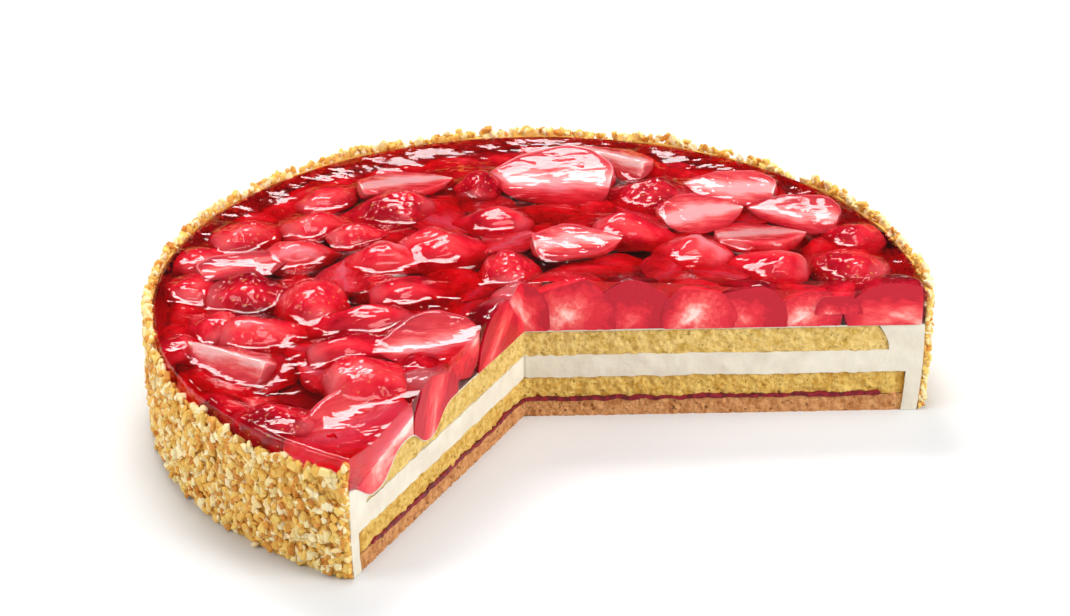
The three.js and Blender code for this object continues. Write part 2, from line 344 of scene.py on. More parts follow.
def placeCamera():
    lens = bpy.data.cameras.new("camera")
    lens.lens = view["lens"]
    lens.sensor_width = 36
    lens.clip_start = 0.01
    eye = bpy.data.objects.new("camera", lens)
    addToScene(eye)
    eye.location = view["place"]
    eye.rotation_euler = (radians(90 - view["tiltDown"]), 0, radians(view["turn"]))
    bpy.context.scene.camera = eye


studio = {
    "surround": ((0.0, 0.10), (0.15, 0.04), (0.3, 0.04), (0.6, 0.06), (0.85, 0.5), (1.0, 0.8)),  # by height
    "boxes": (  # place, size, how bright
        ((-0.20, 0.64, 0.85), (0.58, 0.30), 16.0),
        ((0.05, -0.05, 1.20), (0.50, 0.35), 7.0),
        ((-0.35, -1.25, 0.70), (1.00, 0.60), 1.5),
        ((1.10, -0.50, 0.60), (0.60, 0.60), 13.0),
        ((-1.10, -0.40, 0.60), (0.60, 0.60), 6.0),
    ),
    "floor": "dee0e1",
}


def lightStudio():
    world = bpy.data.worlds.new("studio")
    bpy.context.scene.world = world
    world.use_nodes = True
    tree = world.node_tree
    backdrop = tree.nodes["Background"]
    toward = addNode(tree, "TexCoord").outputs["Generated"]
    height = addNode(tree, "SeparateXYZ", {"Vector": toward}).outputs["Z"]
    shades = [(place, (light, light * 0.995, light * 0.98)) for place, light in studio["surround"]]
    tree.links.new(ramp(tree, height, *shades), backdrop.inputs["Color"])
    for index, (place, size, bright) in enumerate(studio["boxes"]):
        lamp = bpy.data.lights.new("softBox%d" % index, "AREA")
        lamp.shape = "RECTANGLE"
        lamp.size, lamp.size_y = size
        lamp.energy = bright * pi * size[0] * size[1]
        stand = bpy.data.objects.new("softBox%d" % index, lamp)
        addToScene(stand)
        stand.location = place
        aim = Vector((0, 0, 0.02)) - Vector(place)
        stand.rotation_euler = aim.to_track_quat("-Z", "Y").to_euler()
    bpy.context.scene.view_settings.view_transform = "Standard"


def layFloor():
    deselectAll()
    bpy.ops.mesh.primitive_plane_add(size=6, location=(0, 0, 0))
    floor = bpy.context.object
    floor.name = "floor"
    bpy.ops.object.transform_apply()
    finish, tree, shader = startFinish("paleFloor", 0.6, 0.2)
    tint = ramp(tree, grain(tree, objectPlace(tree), 3.0), (0.3, studio["floor"]), (0.7, "dcdedf"))
    paint(tree, shader, tint)
    floor.data.materials.append(finish)


# Round layers, spun about the tip of the cuts so that both cut faces are flat and finely divided

def reachTo(angle, radius):  # from the tip to the round's edge, along a direction
    along = tipX * cos(angle) + tipY * sin(angle)
    return -along + sqrt(along * along - tipX * tipX - tipY * tipY + radius * radius)


def spinSheet(name, columns, rows, steps, keep=None, finer=False):  # a unit sheet, spun round the tart
    deselectAll()
    bpy.ops.mesh.primitive_grid_add(x_subdivisions=columns, y_subdivisions=rows, size=1,
                                    location=(0.5, 0, 0.5), rotation=(pi / 2, 0, 0))
    piece = bpy.context.object
    piece.name = name
    piece.data.name = name
    bpy.ops.object.transform_apply()
    if keep:
        deleteFaces(piece, lambda face: not keep(face.center.x, face.center.z))
    editAll(piece)
    bpy.ops.mesh.spin(steps=steps, angle=sweep, center=(0, 0, 0), axis=(0, 0, 1))
    bpy.ops.mesh.select_all(action="SELECT")
    bpy.ops.mesh.remove_doubles(threshold=1e-5)
    endEdit()
    if finer:
        doubling = piece.modifiers.new("finer", "SUBSURF")
        doubling.subdivision_type = "SIMPLE"
        doubling.levels = doubling.render_levels = 1
        makeActive(piece)
        bpy.ops.object.modifier_apply(modifier="finer")
    return piece


def spunPlaces(points):  # how far round and how far out each point of a spun sheet is
    angles = np.arctan2(points[:, 1], points[:, 0])
    if angles.mean() < 0:
        angles = -angles
    angles = np.where(angles < -1e-4, angles + 2 * pi, angles)
    return angles, np.hypot(points[:, 0], points[:, 1])


# A spun sheet is shaped by its edge at each height and by its low and high levels; cut faces stand proud

def shapeLayer(piece, edge, low, high, cutFace, proud):
    points = readPoints(piece)
    angles, shares = spunPlaces(points)
    shaped = np.empty_like(points)
    for i, (share, angle, height) in enumerate(zip(shares, angles, points[:, 2])):
        direction = rightCut + angle
        x, y = tipTo(share * reachTo(direction, edge(height)), direction)
        bottom = low(x, y)
        z = bottom + (high(x, y) - bottom) * height
        if share > 1e-4 and (angle < 1e-4 or angle > sweep - 1e-4):
            out = rightOut if angle < 1e-4 else leftOut
            depth = proud + cutFace(Vector((x, y, z)))
            x, y = x + out.x * depth, y + out.y * depth
        shaped[i] = (x, y, z)
    writePoints(piece, shaped)
    faceOutward(piece)


def spongeRelief(depth, scale):
    def relief(place):
        crumb = noise.noise(place * scale) * 0.6 + noise.noise(place * scale * 2.3) * 0.4
        pores = max(0.0, 0.32 - noise.voronoi(place * scale * 0.8)[0][0]) * 2.2
        return depth * (crumb - pores) - depth * 0.4
    return relief


def smoothRelief(depth, scale):
    return lambda place: depth * noise.noise(place * scale)


def wobble(level, depth, scale, seed):
    shift = Vector((seed * 7.3, seed * 3.1, seed))
    return lambda x, y: level + depth * noise.noise(Vector((x, y, 0)) * scale + shift)


# the shortcrust's third colour is painted shade: a darker colour in the small pores
shortcrust = {"top": 6.0 * mm, "radius": 121.5 * mm, "colours": ("d69d68", "b07040"), "poreShade": "7e4a1e"}
jam = {"radius": 112 * mm, "colours": ("8e1626", "5c0a16")}
sponge = {
    "lowerTop": 14.5 * mm, "lowerRadius": 120.8 * mm, "lowerColours": ("e4c06c", "c29039"),
    "upperLow": 22.4 * mm, "upperRadius": 115 * mm, "upperColours": ("e8c97e", "c8a04a"),
    "taper": 4.5 * mm,
}
cream = {
    "floor": 0.15 * mm, "top": tart["seat"], "columns": 150, "rows": 64, "colours": ("e4ddcb", "d8cebb"),
    "lowerRoom": (121.1 * mm, 14.5 * mm), "upperRoom": (115.2 * mm, 22.6 * mm, 30.9 * mm),  # for the sponges
    "seamFrom": 30.4 * mm, "capFrom": 31.4 * mm,
    "pullFrom": 100 * mm, "pullTo": 124 * mm,  # where the coat follows the sponge's taper
}


def crumbFinish(name, light, dark, poreShade, crust, edgeRadius, poreScale=700.0):
    finish, tree, shader = startFinish(name, 0.95, 0.1)
    place = objectPlace(tree)
    body = ramp(tree, grain(tree, place, 330.0, 5.0, 0.7), (0.36, dark), (0.58, light))
    # The darker colour in the small pores is painted shade; the same mask also sinks the pores in the bump
    holes = ramp(tree, cells(tree, place, poreScale), (0.14, white), (0.30, black))
    patch = ramp(tree, grain(tree, place, 300.0), (0.42, black), (0.60, white))
    poreDepthAndShade = times(tree, times(tree, holes, patch), 0.8)
    body = blendColours(tree, poreDepthAndShade, body, poreShade)
    parts = addNode(tree, "SeparateXYZ", {"Vector": place})
    across = lengthOf(tree, parts.outputs["X"], parts.outputs["Y"])
    baked = between(tree, across, edgeRadius - 4.0 * mm, edgeRadius - 0.6 * mm)
    body = blendColours(tree, baked, body, crust)
    paint(tree, shader, body)
    bump(tree, shader, minus(tree, grain(tree, place, 700.0, 4.0, 0.65), poreDepthAndShade), 0.0009, 0.9)
    return finish


def bakeShortcrust():
    piece = spinSheet("shortcrustBase", 280, 12, 60)
    shapeLayer(piece, lambda height: shortcrust["radius"] - 0.5 * mm * abs(2 * height - 1) ** 3,
               lambda x, y: 0.0, wobble(shortcrust["top"], 0.7 * mm, 240, 1),
               spongeRelief(0.7 * mm, 520), 0.2 * mm)
    light, dark = shortcrust["colours"]
    piece.data.materials.append(crumbFinish("bakedShortcrust", light, dark, shortcrust["poreShade"], "b07c3e",
                                            shortcrust["radius"], 520.0))
    seatOnTart(piece, "shortcrust", "shortcrust_base")


def spreadJam():
    piece = spinSheet("jamLayer", 260, 4, 60)
    coarse = wobble(0.75 * mm, 0.75 * mm, 70, 2)
    fine = wobble(0.0, 0.4 * mm, 400, 5)
    top = wobble(shortcrust["top"], 0.7 * mm, 240, 1)
    shapeLayer(piece, lambda height: jam["radius"] + 1.0 * mm * (1 - abs(2 * height - 1)),
               lambda x, y: top(x, y) - 0.25 * mm,
               lambda x, y: top(x, y) + max(0.25 * mm, coarse(x, y) + fine(x, y) + 0.35 * mm),
               smoothRelief(0.3 * mm, 500), 0.3 * mm)
    finish, tree, shader = startFinish("redJam", 0.45, 0.3)
    place = objectPlace(tree)
    light, dark = jam["colours"]
    paint(tree, shader, ramp(tree, grain(tree, place, 500.0), (0.4, dark), (0.6, light)))
    bump(tree, shader, grain(tree, place, 700.0), 0.0004, 0.6)
    piece.data.materials.append(finish)
    seatOnTart(piece, "jam", "jam_layer")


def bakeSponges():
    lower = spinSheet("spongeLower", 280, 22, 60)
    shapeLayer(lower, lambda height: sponge["lowerRadius"] - 0.8 * mm * abs(2 * height - 1) ** 3,
               wobble(6.3 * mm, 0.2 * mm, 120, 1), wobble(sponge["lowerTop"], 0.4 * mm, 90, 3),
               spongeRelief(1.1 * mm, 330), 0.15 * mm)
    light, dark = sponge["lowerColours"]
    # the third colour, a67c2c, is painted shade in the sponge's pores
    lower.data.materials.append(crumbFinish("yellowSponge", light, dark, "a67c2c", "b5822e",
                                            sponge["lowerRadius"]))
    seatOnTart(lower, "sponge", "sponge_lower")
    upper = spinSheet("spongeUpper", 280, 20, 72)
    thin = wobble(0.02 * mm, 0.2 * mm, 130, 9)
    shapeLayer(upper, lambda height: sponge["upperRadius"] - sponge["taper"] * height ** 2,
               wobble(sponge["upperLow"], 0.3 * mm, 90, 4),
               lambda x, y: seatAt(x, y) - max(0.1 * mm, thin(x, y)),
               spongeRelief(0.9 * mm, 330), 0.15 * mm)
    light, dark = sponge["upperColours"]
    # the third colour, b99a4e, is painted shade in the sponge's pores
    upper.data.materials.append(crumbFinish("paleSponge", light, dark, "b99a4e", "dcb870",
                                            sponge["upperRadius"]))
    seatOnTart(upper, "sponge", "sponge_upper")


def whipCream():
    side, bottom = tart["side"], cream["floor"]
    tall = cream["top"] - bottom

    def keep(across, height):  # all but the room of the sponges and the shortcrust
        radius, level = across * side, bottom + height * tall
        lowerRadius, lowerTop = cream["lowerRoom"]
        upperRadius, upperLow, upperTop = cream["upperRoom"]
        inLower = radius < lowerRadius and level < lowerTop
        inUpper = radius < upperRadius and upperLow < level < upperTop
        return not (inLower or inUpper)

    piece = spinSheet("cream", cream["columns"], cream["rows"], 90, keep)
    shapeLayer(piece, lambda height: sideAt(bottom + height * tall), lambda x, y: bottom,
               lambda x, y: bottom + tall, smoothRelief(0.2 * mm, 260), 0.3 * mm)
    wave = wobble(0.0, 0.35 * mm, 110, 6)
    fine = wobble(0.0, 0.55 * mm, 300, 8)
    thin = wobble(0.02 * mm, 0.2 * mm, 130, 9)
    shaped = readPoints(piece)
    for point in shaped:
        x, y, z = point
        radius = hypot(x, y)
        share = (z - sponge["upperLow"]) / (cream["capFrom"] - sponge["upperLow"])
        if 0 < share < 1.1 and cream["pullFrom"] < radius < cream["pullTo"]:
            pull = sponge["taper"] * min(1.0, share) ** 2
            pull *= smoothStep(radius, cream["pullFrom"], 114 * mm)
            pull *= 1 - smoothStep(radius, 116 * mm, cream["pullTo"])
            x, y = x - x / radius * pull, y - y / radius * pull
        seat = seatAt(x, y)
        crown = seat - max(0.1 * mm, thin(x, y)) + 0.1 * mm
        if z > cream["capFrom"]:
            level = seat + (z - cream["top"])
        elif z > cream["seamFrom"]:
            level = crown
        elif z > sponge["upperLow"]:
            share = (z - sponge["upperLow"]) / (cream["upperRoom"][2] - sponge["upperLow"])
            level = sponge["upperLow"] + (crown - sponge["upperLow"]) * share
        else:
            level = z
        if radius < 125 * mm and 8 * mm < z < 24 * mm:
            level += wave(x, y) + fine(x, y)
        point[:] = x, y, level
    writePoints(piece, shaped)
    finish, tree, shader = startFinish("whiteCream", 0.5, 0.3)
    place = objectPlace(tree)
    light, dark = cream["colours"]
    tint = ramp(tree, grain(tree, place, 90.0, 3.0), (0.35, dark), (0.65, light))
    paint(tree, shader, tint)
    letLightIn(shader, 0.2, (0.004, 0.003, 0.002))
    bump(tree, shader, grain(tree, place, 240.0, 2.0), 0.0008, 0.5)
    piece.data.materials.append(finish)
    seatOnTart(piece, "cream", "cream")


# Strawberries, in millimetres and degrees: laid out as the solids, but one wedge lies a little off its own

strawberryRows = (  # x, y, length, width, heading, form, tilt, lift, tone, how seedy
    (-57, -91, 52, 40, 214, "half", -22, 0.6, 0.8, 0),
    (-51, -61, 35, 32, 15, "half", 170, 1.6, 0.6, 0.5),
    (-33, -63, 34, 30, -116, "whole", 70, -1.2, 0.15, 0),
    (-35, -41, 36, 28, 192, "half", -20, 1.4, 0.5, 0),
    (-14, -25, 32, 23, -112, "whole", 35, 0, 0.15, 0),
    (-5, -8, 29, 20, 60, "whole", 50, 0.4, 0.35, 0),
    (9, -3, 34, 31, 95, "whole", 10, -0.2, 0.5, 0),
    (31, -4, 32, 30, 80, "whole", 15, 0.6, 0.08, 0),
    (51, -5, 30, 24, 110, "whole", 0, -0.9, 0.66, 0),
    (68, -1, 34, 29, 75, "whole", 20, -0.2, 0.16, 0),
    (86, -3, 29, 22, 130, "whole", 0, -0.4, 0.55, 0),
    (99, 3, 22, 18, 60, "half", 180, -0.4, 0.3, 0.2),
    (113, 0, 34, 28, 170, "whole", -8, 4.2, 0.2, 0.2),
    (-98, -48, 31, 27, 150, "wedge", 26, 1.8, 0.7, 0),
    (-83, -84, 34, 25, 160, "half", 186, 1.2, 0.28, 0.9),
    (-99, -74, 29, 18, 140, "half", 180, -1, 0.25, 0.4),
    (-87, -27, 35, 24, 5, "half", 176, 1.4, 0.6, 0.3),
    (-105, -20, 26, 20, 120, "half", 180, 1.2, 0.5, 0.3),
    (-115, -33, 24, 17, 105, "half", 180, 0.6, 0.4, 0.3),
    (-59, -23, 43, 26, 176, "half", 168, 1, 0.38, 0.1),
    (-57, -41, 36, 19, 10, "half", 185, 0.2, 0.35, 0.1),
    (-74, -6, 32, 25, 105, "whole", -12, 1.8, 0.62, 0.8),
    (-93, 1, 35, 28, 8, "half", 186, 2, 0.24, 0.9),
    (-114, 9, 26, 22, 80, "half", 180, 0.6, 0.5, 0.3),
    (-98, 19, 34, 18, 22, "slice", 8, 0, 0.2, 0),
    (-112, 30, 28, 20, 62, "half", 180, 0.6, 0.55, 0.3),
    (-98, 47, 31, 23, 35, "half", 178, 1.6, 0.55, 0.8),
    (-79, 30, 31, 22, 15, "half", 184, 0.8, 0.72, 0.1),
    (-75, 54, 30, 22, 30, "half", 180, 0.6, 0.55, 0.3),
    (-53, 62, 38, 30, 185, "half", 178, 2.4, 0.36, 0.9),
    (-60, 41, 24, 17, 20, "half", 180, 1, 0.5, 0.8),
    (-53, 22, 31, 24, 185, "half", 184, 1.2, 0.72, 0.1),
    (-30, 28, 39, 30, -12, "half", 172, 1.6, 0.5, 0.1),
    (-40, -3, 34, 24, 10, "half", 180, -0.8, 0.4, 0),
    (-10, 12, 26, 20, 95, "whole", -10, 1.6, 0.55, 0.8),
    (-47, 83, 34, 23, 12, "slice", -6, 0.4, 0.75, 0),
    (-72, 79, 31, 20, 42, "half", 180, -0.4, 0.55, 0.2),
    (-21, 84, 22, 17, 80, "whole", -12, 1.2, 0.3, 0.8),
    (4, 87, 46, 38, 172, "half", -14, 2.4, 0.6, 0),
    (24, 103, 32, 25, 150, "wedge", 14, 1.8, 0.72, 0),
    (36, 77, 34, 29, 165, "whole", -6, 1.8, 0.3, 0.5),
    (66, 82, 34, 23, 168, "slice", -8, 0.6, 0.75, 0),
    (55, 58, 31, 23, 20, "half", 12, 0.2, 0.72, 0),
    (33, 43, 34, 24, -15, "half", 178, 1, 0.5, 0.2),
    (-17, 50, 32, 23, 165, "half", 180, 0.4, 0.45, 0.1),
    (12, 26, 31, 22, 8, "half", 6, 0.4, 0.65, 0),
    (50, 29, 32, 26, 150, "half", 180, 0, 0.75, 0),
    (74, 42, 32, 25, 5, "half", -12, 0.6, 0.75, 0),
    (87, 63, 34, 22, 162, "half", -16, 1, 0.5, 0),
    (75, 20, 34, 25, 172, "half", 178, 1.2, 0.55, 0.3),
    (101, 24, 35, 27, 158, "half", 180, 1.8, 0.45, 0.9),
    (106, 49, 29, 19, 150, "half", 180, 0.8, 0.45, 0.5),
)
strawberryPlaces = [
    {"at": (x, y), "size": (length, width), "heading": heading, "form": form, "lift": lift, "tone": tone,
     "seedy": seedy, "pitch" if form == "whole" else "roll": tilt}
    for x, y, length, width, heading, form, tilt, lift, tone, seedy in strawberryRows
]

berry = {
    "fullness": 0.75,
    "shoulder": 0.5, "taper": 0.3,          # a round shoulder and a pointed tip
    "sides": 64, "rings": 40,
    "uneven": 0.15, "finelyUneven": 0.05,   # shares of the width
    "pitDepth": 0.34 * mm,
    "flats": 7, "flatDepth": 0.13,          # flattened sides, as a share of the size
    "proud": 0.2 * mm,                      # bare flesh at the cuts, a little out of the jelly
    "seedRows": 9, "seedsRound": 15,
    "sliceShare": 0.34, "wedgeAngle": 70,
    "plainSides": 32, "plainRings": 20,     # of those sunk in the jelly
}


def makeBerryMould(sides, rings):  # a whole strawberry of unit length and width, its tip along +X
    deselectAll()
    bpy.ops.mesh.primitive_uv_sphere_add(segments=sides, ring_count=rings, radius=0.5)
    mould = bpy.context.object
    mould.name = "berryMould"
    points = readPoints(mould)
    polar = np.arccos(np.clip(points[:, 2] / 0.5, -1, 1))
    around = np.arctan2(points[:, 1], points[:, 0])
    along = (1 - np.cos(polar)) / 2
    swell = np.sin(pi * along ** berry["fullness"]).clip(0)
    swell **= berry["shoulder"] + berry["taper"] * along
    capDent = 0.05 * np.exp(-(np.sin(polar) / 0.35) ** 2) * (polar < 1)
    shaped = np.stack([along - 0.5 + capDent, 0.5 * swell * np.cos(around), 0.5 * swell * np.sin(around)], 1)
    writePoints(mould, shaped)
    faceOutward(mould)
    bpy.ops.object.shade_smooth()
    mould.hide_render = True
    return mould


def seedPits(local, length, width):  # how deep the skin dips round each seed
    along = local[:, 0] / length + 0.5
    around = np.arctan2(local[:, 2], local[:, 1]) / (2 * pi)
    rows = along * berry["seedRows"]
    row = np.floor(rows)
    shift = np.mod(row, 2) * 0.5
    turns = around * berry["seedsRound"] + shift
    offRow = (rows - row - 0.5) * length / berry["seedRows"]
    offTurn = (turns - np.floor(turns) - 0.5) * pi * width / berry["seedsRound"]
    distance = np.hypot(offRow, offTurn * 1.15)
    return berry["pitDepth"] * np.exp(-(distance / (0.9 * mm)) ** 2)


def bisectPiece(piece, place, normal, keepBelow=True):  # a flat cut, closed with a face of flesh
    editAll(piece)
    bpy.ops.mesh.bisect(plane_co=place, plane_no=normal, use_fill=True, clear_outer=keepBelow,
                        clear_inner=not keepBelow, threshold=1e-7)
    endEdit()
    normal = Vector(normal).normalized()
    for face in piece.data.polygons:
        if abs((face.center - Vector(place)).dot(normal)) < 1e-6 and abs(face.normal.dot(normal)) > 0.999:
            face.material_index = 1
            face.use_smooth = False


def storeBerryPlace(piece, points):  # each point's place on the whole berry, for the finishes
    layer = piece.data.attributes.new("berryPlace", "FLOAT_VECTOR", "POINT")
    layer.data.foreach_set("vector", np.ascontiguousarray(points, np.float32).ravel())


def cutStrawberry(name, mould, spec, draw, further):
    length, width = (value * mm for value in spec["size"])
    piece = mould.copy()
    piece.data = mould.data.copy()
    piece.name = name
    piece.data.name = name
    piece.hide_render = False
    addToScene(piece)
    unit = readPoints(piece)
    local = unit * (length, width, width)
    shift = Vector([draw.random() * 90 for _ in range(3)])
    swell = np.array([noise.noise(Vector(p) * 2.2 + shift) for p in unit])
    ripple = np.array([noise.noise(Vector(p) * 5.5 - shift) for p in unit])
    pits = seedPits(local, length, width) * (0.6 + 1.2 * spec.get("seedy", 0.25))
    spread = np.hypot(local[:, 1], local[:, 2]) + 1e-9
    factor = 1 + berry["uneven"] * swell + berry["finelyUneven"] * ripple - pits / spread.clip(2 * mm)
    local[:, 1:] *= factor[:, None]
    for _ in range(berry["flats"]):
        facing = np.array((draw.gauss(0, 0.5), draw.gauss(0, 1), draw.gauss(0, 1)))
        facing /= np.linalg.norm(facing)
        reach = local @ facing
        limit = reach.max() * (1 - berry["flatDepth"] * (0.5 + draw.random()))
        local -= np.maximum(reach - limit, 0)[:, None] * 0.9 * facing
    writePoints(piece, local)
    piece.data.materials.append(finishes["skin"])
    piece.data.materials.append(finishes["flesh"])
    if spec["form"] != "whole":
        bisectPiece(piece, (0, 0, 0), (0, 0, 1))
    if spec["form"] == "slice":
        bisectPiece(piece, (0, 0, -berry["sliceShare"] * width), (0, 0, 1), keepBelow=False)
    if spec["form"] == "wedge":
        tilt = radians(-berry["wedgeAngle"])
        bisectPiece(piece, (0, 0, 0), (0, -sin(tilt), cos(tilt)))
    turn = (Matrix.Rotation(radians(spec["heading"]), 4, "Z")
            @ Matrix.Rotation(radians(spec.get("pitch", 0)), 4, "Y")
            @ Matrix.Rotation(radians(spec.get("roll", 0)), 4, "X"))
    piece.data.transform(turn)
    points = readPoints(piece)
    x, y = (value * mm for value in spec["at"])
    top = spec.get("top", berryTopAt(hypot(x, y)) / mm + spec.get("lift", 0)) * mm
    place = np.array((x, y, top - points[:, 2].max()))
    writePoints(piece, points + place)
    trimAtCuts(piece, further)
    points = readPoints(piece)
    reach = [(points - (tipX, tipY, 0)) @ np.array(out) for out in (rightOut, leftOut)]
    atCut = np.isclose(reach, berry["proud"] + further, rtol=0, atol=4e-6).any(axis=0)
    storeValues(piece.data, "atCut", atCut)
    back = (points - place) @ np.array(turn)[:3, :3]
    storeBerryPlace(piece, back / (length, width, width))
    tone = spec.get("tone", 0.42 + 0.2 * draw.random())
    storeValues(piece.data, "tone", np.full(len(back), tone))
    storeValues(piece.data, "seedy", np.full(len(back), spec.get("seedy", 0.25)))
    return piece


def trimAtCuts(piece, further):  # takes away what reaches past the cuts, the rim or the seat
    proud = berry["proud"]
    tip = Vector((tipX, tipY, 0))
    points = readPoints(piece) - tuple(tip)
    rightSide = points @ np.array(rightOut)
    leftSide = points @ np.array(leftOut)
    if ((rightSide > proud) & (leftSide > proud)).any():
        makeActive(piece)
        cutter = piece.modifiers.new("notch", "BOOLEAN")
        cutter.operation = "DIFFERENCE"
        cutter.solver = "EXACT"
        cutter.object = gapBlock
        bpy.ops.object.modifier_apply(modifier="notch")
        for face in piece.data.polygons:
            offset = face.center - tip
            onRight = abs(offset.dot(rightOut) - proud) < 2e-6 and abs(face.normal.dot(rightOut)) > 0.99
            onLeft = abs(offset.dot(leftOut) - proud) < 2e-6 and abs(face.normal.dot(leftOut)) > 0.99
            if onRight or onLeft:
                face.material_index = 1
                face.use_smooth = False
    points = readPoints(piece)
    for out in (rightOut, leftOut):
        onCut = np.abs((points - tuple(tip)) @ np.array(out) - proud) < 2e-6
        points[onCut] += np.array(out) * further
    radius = np.hypot(points[:, 0], points[:, 1])
    limit = tart["side"] - 1.0 * mm
    beyond = np.tanh((radius - limit + 2 * mm) / (2 * mm))
    squeeze = np.where(radius > limit - 2 * mm, limit - 2 * mm + 2 * mm * beyond, radius)
    points[:, :2] *= (squeeze / np.maximum(radius, 1e-9))[:, None]
    floor = np.array([seatAt(x, y) - 0.15 * mm for x, y in points[:, :2]])
    points[:, 2] = np.maximum(points[:, 2], floor)
    writePoints(piece, points)


def makeGapBlock():  # fills the space between the cuts, a little back from them
    deselectAll()
    bpy.ops.mesh.primitive_cone_add(vertices=3, radius1=0.3, radius2=0.3, depth=0.2, location=(0, 0, 0.03))
    block = bpy.context.object
    block.name = "gapBlock"
    proud = berry["proud"]
    middle = (rightCut + leftCut - 2 * pi) / 2
    halfOpen = (2 * pi - sweep) / 2
    back = proud / sin(halfOpen)
    cornerX, cornerY = tipTo(back, middle)
    far = 0.4
    bpy.ops.object.transform_apply()
    points = readPoints(block)
    targets = ((cornerX, cornerY),
               (cornerX + far * cos(leftCut), cornerY + far * sin(leftCut)),
               (cornerX + far * cos(rightCut), cornerY + far * sin(rightCut)))
    corners = {}
    for point in points:
        which = corners.setdefault((round(float(point[0]), 4), round(float(point[1]), 4)), len(corners))
        point[:2] = targets[which]
    writePoints(block, points)
    faceOutward(block)
    block.hide_render = True
    return block


def readLayer(tree, name, output):  # what storeValues or storeBerryPlace kept
    found = addNode(tree, "Attribute")
    found.attribute_name = name
    return found.outputs[output]


def skinFinish():
    finish, tree, shader = startFinish("strawberrySkin", 0.5, 0.0)
    place = readLayer(tree, "berryPlace", "Vector")
    tone = readLayer(tree, "tone", "Fac")
    patch = times(tree, minus(tree, grain(tree, place, 2.4, 3.0), 0.5), 1.3)
    body = ramp(tree, plus(tree, patch, tone), (0.05, "8c0a20"), (0.28, "d0162e"),
                (0.52, "f42a42"), (0.75, "fb5458"), (0.97, "fda2a6"))
    parts = addNode(tree, "SeparateXYZ", {"Vector": place}).outputs
    body = blendColours(tree, between(tree, parts["X"], -0.5, -0.28, 0.7, 0.0), body, "f09898")
    along = times(tree, plus(tree, parts["X"], 0.5), berry["seedRows"])
    row = reckon(tree, "FLOOR", along)
    shift = times(tree, reckon(tree, "MODULO", row, 2.0), 0.5)
    turn = reckon(tree, "DIVIDE", reckon(tree, "ARCTAN2", parts["Z"], parts["Y"]), 2 * pi)
    turns = plus(tree, times(tree, turn, berry["seedsRound"]), shift)
    offRow = minus(tree, reckon(tree, "FRACT", along), 0.5)
    offTurn = minus(tree, reckon(tree, "FRACT", turns), 0.5)
    square = plus(tree, power(tree, times(tree, offRow, 1.1), 2.0),
                  power(tree, times(tree, offTurn, 2.0), 2.0))
    seeds = ramp(tree, square, (0.008, white), (0.02, black))
    shown = times(tree, seeds, readLayer(tree, "seedy", "Fac"))
    paint(tree, shader, blendColours(tree, shown, body, "eaa85c"))
    return finish


def fleshFinish():
    finish, tree, shader = startFinish("strawberryFlesh", 0.3, 0.25)
    place = readLayer(tree, "berryPlace", "Vector")
    parts = addNode(tree, "SeparateXYZ", {"Vector": place}).outputs
    across = lengthOf(tree, parts["Y"], parts["Z"])
    fullness = power(tree, plus(tree, parts["X"], 0.5), berry["fullness"])
    taper = plus(tree, times(tree, parts["X"], berry["taper"]), berry["shoulder"] + berry["taper"] / 2)
    edge = power(tree, reckon(tree, "SINE", times(tree, fullness, pi)), taper)
    share = reckon(tree, "DIVIDE", across, reckon(tree, "MAXIMUM", times(tree, edge, 0.5), 0.05))
    streak = grain(tree, stretch(tree, place, (5.0, 15.0, 15.0)), 1.0, 3.0, 0.6)
    cloud = grain(tree, place, 2.1, 2.0)
    uneven = plus(tree, times(tree, minus(tree, streak, 0.5), 0.8),
                  times(tree, minus(tree, cloud, 0.5), 1.35))
    redder = times(tree, minus(tree, 0.5, readLayer(tree, "tone", "Fac")), 0.9)
    share = plus(tree, plus(tree, share, uneven), redder)
    share = plus(tree, share, times(tree, readLayer(tree, "atCut", "Fac"), 0.12))
    body = ramp(tree, share, (0.0, "fcd8d0"), (0.20, "f8a29a"), (0.42, "f05a5a"),
                (0.68, "e02a3a"), (0.90, "d01c30"), (1.0, "bc142a"))
    paint(tree, shader, body)
    letLightIn(shader, 0.3, (0.005, 0.0014, 0.0012))
    bump(tree, shader, streak, 0.0004, 0.5)
    return finish


def layStrawberries():
    draw = random.Random(11)
    mould = makeBerryMould(berry["sides"], berry["rings"])
    plainMould = makeBerryMould(berry["plainSides"], berry["plainRings"])
    laid = []
    for index, spec in enumerate(strawberryPlaces):
        further = index * 5 % 7 * 0.06 * mm  # neighbours end at slightly different depths
        piece = cutStrawberry("strawberry%02d" % (index + 1), mould, spec, draw, further)
        seatOnTart(piece, "strawberry", "strawberry_%02d" % (index + 1))
        laid.append(piece)
    sunk = []
    for index, spec in enumerate(sunkPlaces()):
        sunk.append(cutStrawberry("sunk%02d" % index, plainMould, spec, draw, -0.2 * mm))
    tell("%d strawberries sunk in the jelly" % len(sunk))
    deselectAll()
    for piece in sunk:
        piece.select_set(True)
    bpy.context.view_layer.objects.active = sunk[0]
    bpy.ops.object.join()
    sunk[0].name = "sunkStrawberries"
    seatOnTart(sunk[0], "strawberry")
    bpy.data.objects.remove(mould)
    bpy.data.objects.remove(plainMould)
    return laid + [sunk[0]]


sunken = {  # halves that lie wholly in the jelly, in millimetres
    "inGaps": 44, "tries": 9000, "within": 118, "apart": 2.6,
    "pool": (-79, -61), "poolRadius": 14,   # a deep pool stays free at the front left
    "underRim": 34, "rimRadius": 112,
}


